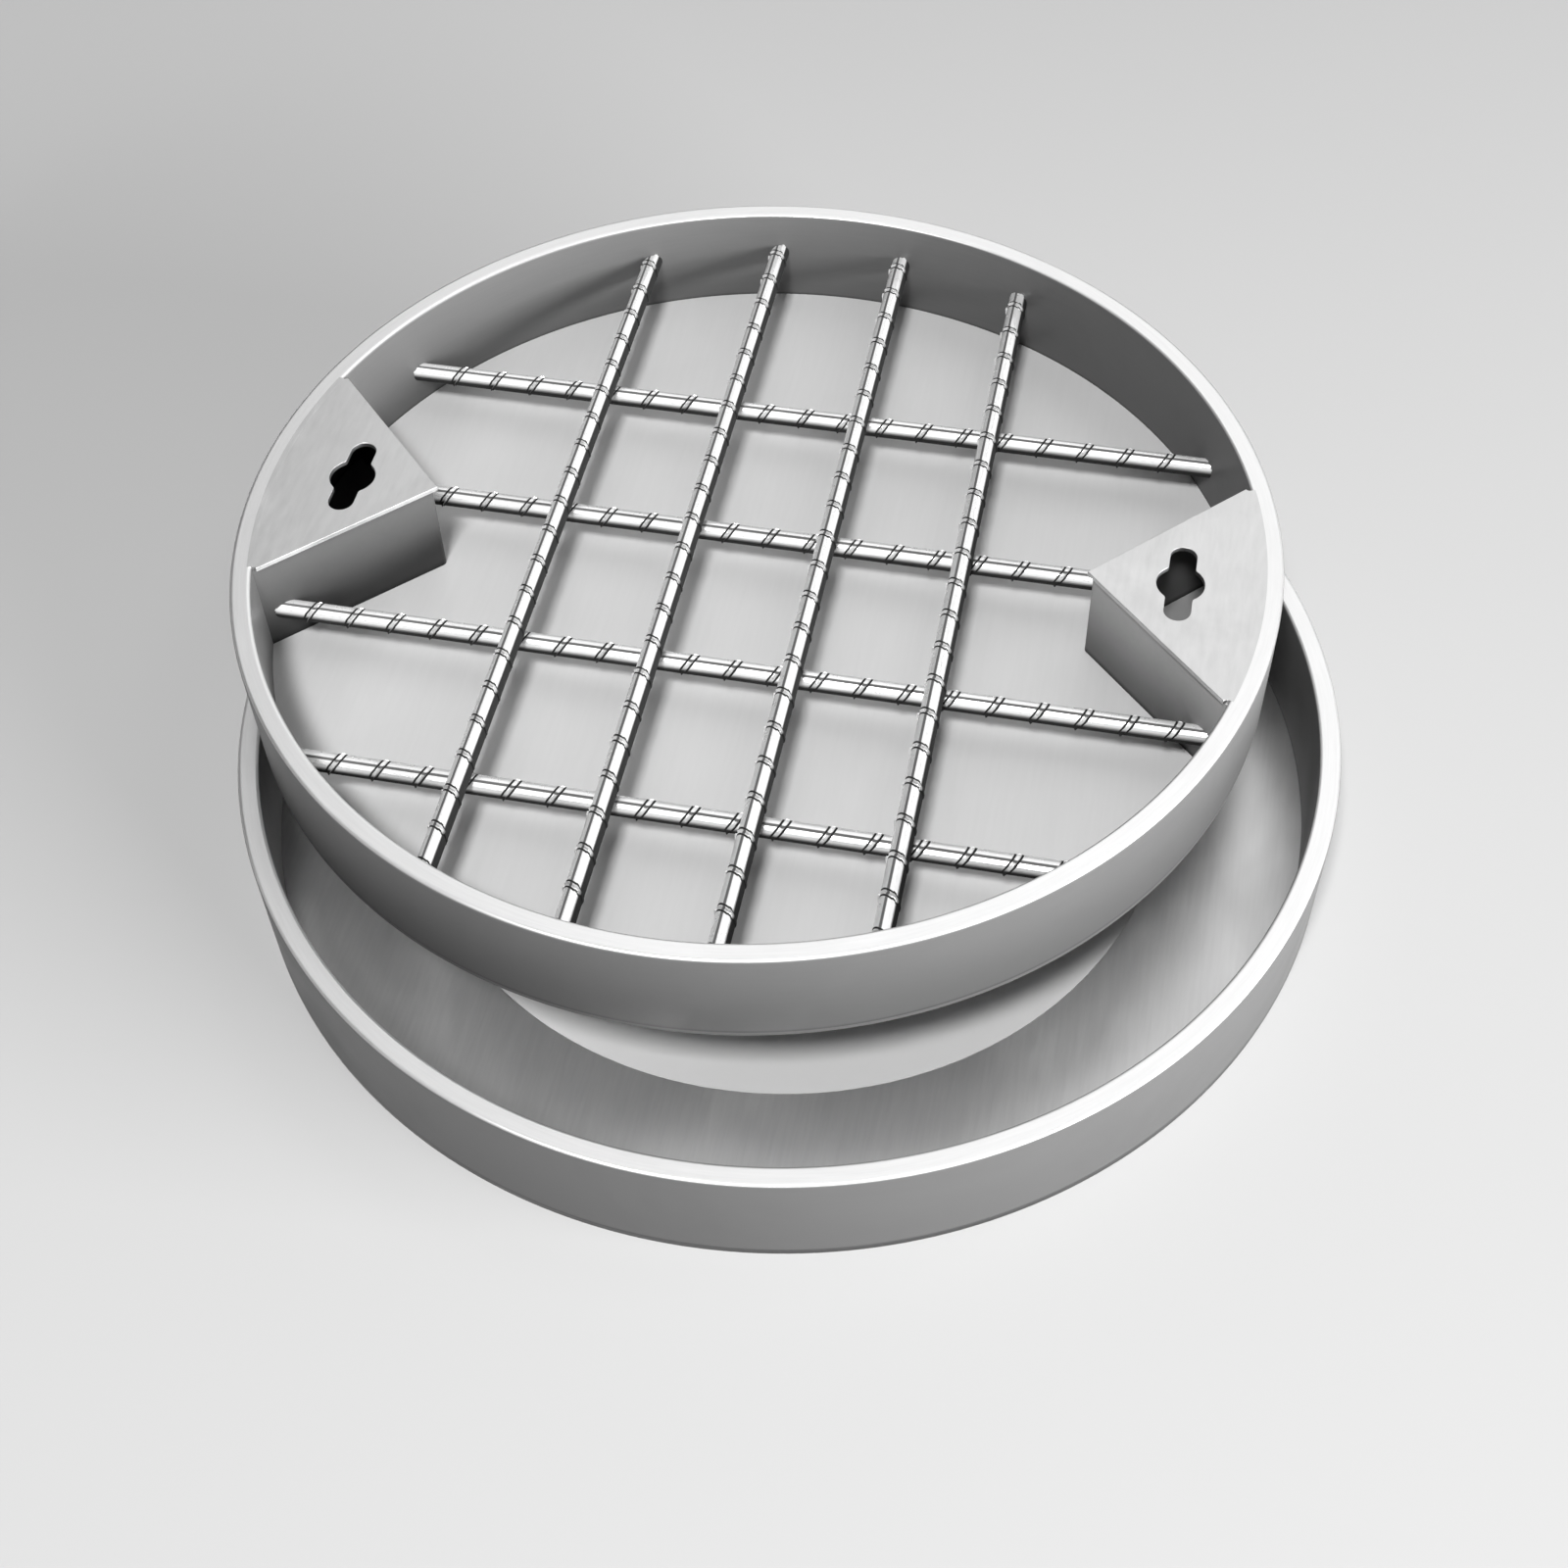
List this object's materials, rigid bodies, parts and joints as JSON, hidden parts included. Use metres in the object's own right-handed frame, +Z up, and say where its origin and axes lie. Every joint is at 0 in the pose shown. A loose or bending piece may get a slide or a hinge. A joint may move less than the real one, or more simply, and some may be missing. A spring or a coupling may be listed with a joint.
{
  "type": "recessed manhole cover",
  "caption": "Round recessed steel tray cover with a ribbed bar grid and keyhole lifting boxes, lying slid back on its ring frame.",
  "frame": {"origin": "on the ring frame's axis, at its underside", "axes": "+Z up along the frame's axis; +X from the tray's axis towards its right key box; +Y back, roughly the way the tray is slid"},
  "size_m": [0.646, 0.6825, 0.137],
  "materials": {
    "frame_steel": "satin",
    "tray_steel": "satin",
    "key_steel": "brushed",
    "bar_steel": "bright"
  },
  "bodies": {
    "root": {"frame_ring": "frame_steel", "seat_ring": "frame_steel", "cover_floor": "tray_steel", "cover_wall": "tray_steel", "key_skirt_left": "key_steel", "key_plate_left": "key_steel", "key_skirt_right": "key_steel", "key_plate_right": "key_steel", "long_bar_1": "bar_steel", "long_bar_2": "bar_steel", "long_bar_3": "bar_steel", "long_bar_4": "bar_steel", "cross_bar_1": "bar_steel", "cross_bar_2": "bar_steel", "cross_bar_3": "bar_steel", "cross_bar_4": "bar_steel"}
  },
  "joints": []
}
